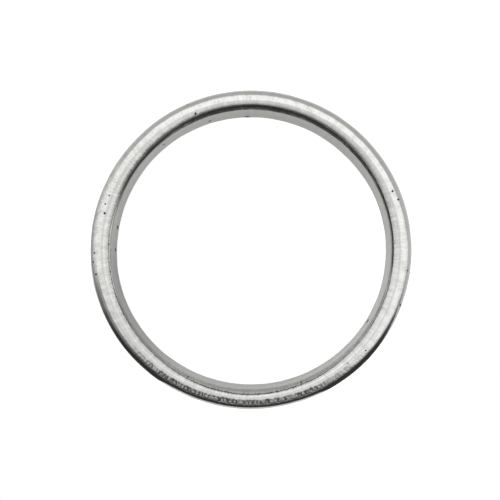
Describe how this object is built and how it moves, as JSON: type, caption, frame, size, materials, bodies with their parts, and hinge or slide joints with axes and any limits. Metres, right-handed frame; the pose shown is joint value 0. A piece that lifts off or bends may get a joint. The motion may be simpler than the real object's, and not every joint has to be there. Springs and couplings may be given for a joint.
{
  "type": "exhaust pipe gasket",
  "caption": "Round exhaust pipe gasket folded from thin steel sheet, with a hollow D-shaped section, an upright inner wall, a bulged outer side and an open seam on the upper inner fold.",
  "frame": {"origin": "on the ring's axis, at the level of its lower seat", "axes": "+Z along the ring's axis, from the lower seat to the upper seat beside the seam; X and Y lie across the ring and are interchangeable"},
  "size_m": [0.0698, 0.0698, 0.0066],
  "materials": {
    "steel_strip": "bare pressed steel, satin to polished, with fine cross marks, crimp wrinkles and small dark pits"
  },
  "bodies": {
    "root": {"gasket_ring": "steel_strip"}
  },
  "joints": []
}
